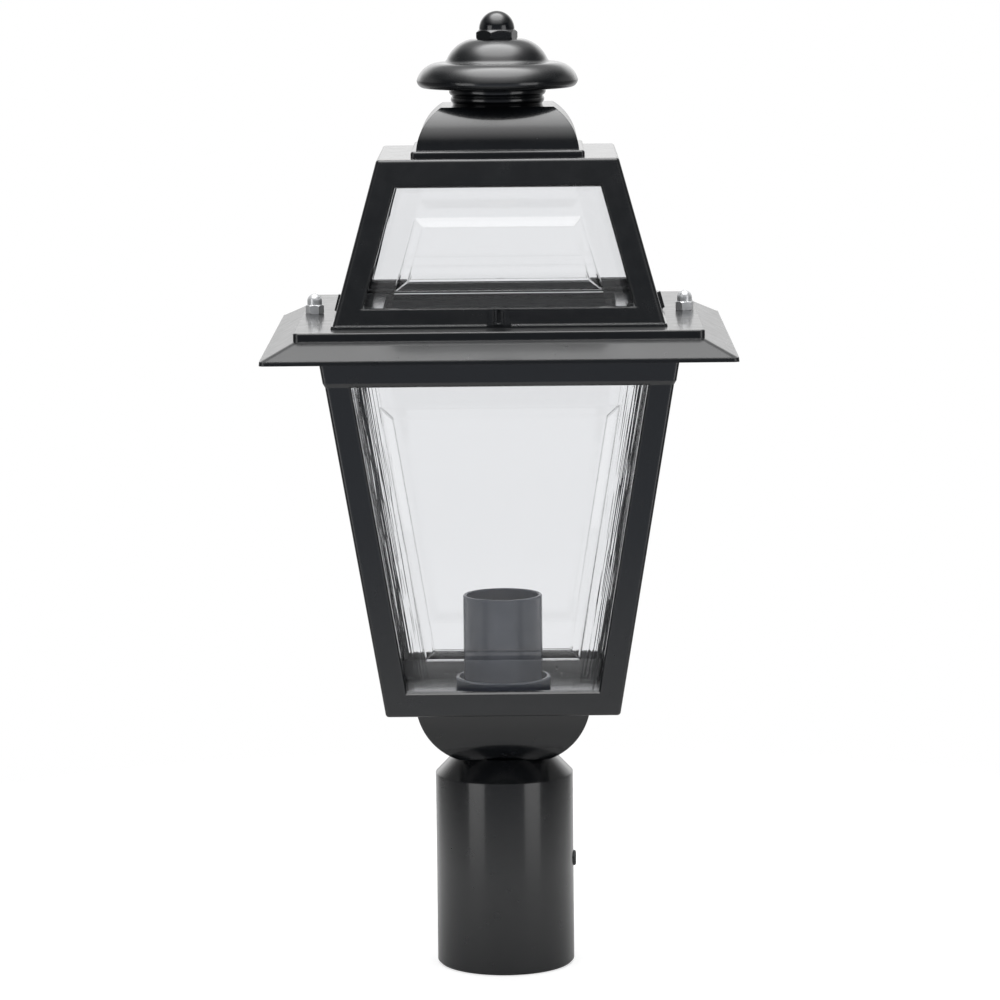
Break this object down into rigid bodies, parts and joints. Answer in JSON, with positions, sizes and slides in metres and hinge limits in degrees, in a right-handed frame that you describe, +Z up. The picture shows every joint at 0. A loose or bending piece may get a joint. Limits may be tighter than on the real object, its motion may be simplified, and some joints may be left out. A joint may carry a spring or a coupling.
{
  "type": "post top lantern",
  "caption": "Square tapering post top lantern with clear bevelled panes, windowed lift-off roof, turned finial and an open screw lamp holder, on a round fitter for a post.",
  "frame": {"origin": "centre of the post fitter's open lower end", "axes": "+Z up along the post, -Y out of the front window, +X to the right as seen from the front"},
  "size_m": [0.23, 0.23, 0.4847],
  "materials": {
    "black_paint": "satin black powder coat on cast aluminium",
    "black_nut": "satin black",
    "black_steel": "blackened",
    "bright_nut": "polished",
    "zinc_steel": "zinc plated",
    "clear_glass": "clear moulded",
    "sealant": "matt",
    "grey_plastic": "semi matt moulded",
    "white_ceramic": "glazed",
    "brass": "plain"
  },
  "bodies": {
    "lantern": {"post_fitter": "black_paint", "base_cup": "black_paint", "body_frame": "black_paint", "body_pane_front": "clear_glass", "body_pane_right": "clear_glass", "body_pane_back": "clear_glass", "body_pane_left": "clear_glass", "body_pane_seals": "sealant", "stem_tube": "zinc_steel", "stem_nut_upper": "zinc_steel", "stem_nut_lower": "zinc_steel", "stem_washer": "zinc_steel", "holder_foot": "grey_plastic", "holder_core": "white_ceramic", "holder_screws": "zinc_steel", "screw_shell": "brass", "holder_sleeve": "grey_plastic", "earth_stud": "zinc_steel", "earth_nut": "zinc_steel", "roof_gasket": "sealant", "roof_studs": "zinc_steel"},
    "roof": {"brim": "black_paint", "roof_frame": "black_paint", "roof_frame_screws": "zinc_steel", "roof_pane_front": "clear_glass", "roof_pane_right": "clear_glass", "roof_pane_back": "clear_glass", "roof_pane_left": "clear_glass", "roof_pane_seals": "sealant", "chimney_dome": "black_paint", "finial": "black_paint", "finial_nut": "black_nut", "tie_rod": "zinc_steel", "tie_rod_washer": "zinc_steel", "tie_rod_nut": "zinc_steel"},
    "roof_nut_left": {"roof_nut_left": "bright_nut"},
    "roof_nut_right": {"roof_nut_right": "bright_nut"},
    "clamp_screw_right": {"clamp_screw_right": "black_steel"},
    "clamp_screw_back": {"clamp_screw_back": "black_steel"},
    "centre_contact": {"centre_contact": "brass"}
  },
  "joints": [
    {"name": "roof_lift", "type": "slide", "parent": "lantern", "child": "roof", "axis": [0, 0, 1], "range_m": [0, 0.06]},
    {"name": "roof_nut_left_turn", "type": "hinge", "parent": "roof", "child": "roof_nut_left", "pos_m": [-0.093, 0, 0.338], "axis": [0, 0, 1], "continuous": true},
    {"name": "roof_nut_right_turn", "type": "hinge", "parent": "roof", "child": "roof_nut_right", "pos_m": [0.093, 0, 0.338], "axis": [0, 0, 1], "continuous": true},
    {"name": "clamp_screw_right_feed", "type": "slide", "parent": "lantern", "child": "clamp_screw_right", "axis": [-1, 0, 0], "range_m": [0, 0.002]},
    {"name": "clamp_screw_back_feed", "type": "slide", "parent": "lantern", "child": "clamp_screw_back", "axis": [0, -1, 0], "range_m": [0, 0.002]},
    {"name": "centre_contact_press", "type": "hinge", "parent": "lantern", "child": "centre_contact", "pos_m": [-0.0083, 0, 0.1569], "axis": [0, 1, 0], "range_deg": [0, 9], "stiffness_Nm_per_rad": 0.12, "springref_deg": -4.58}
  ]
}
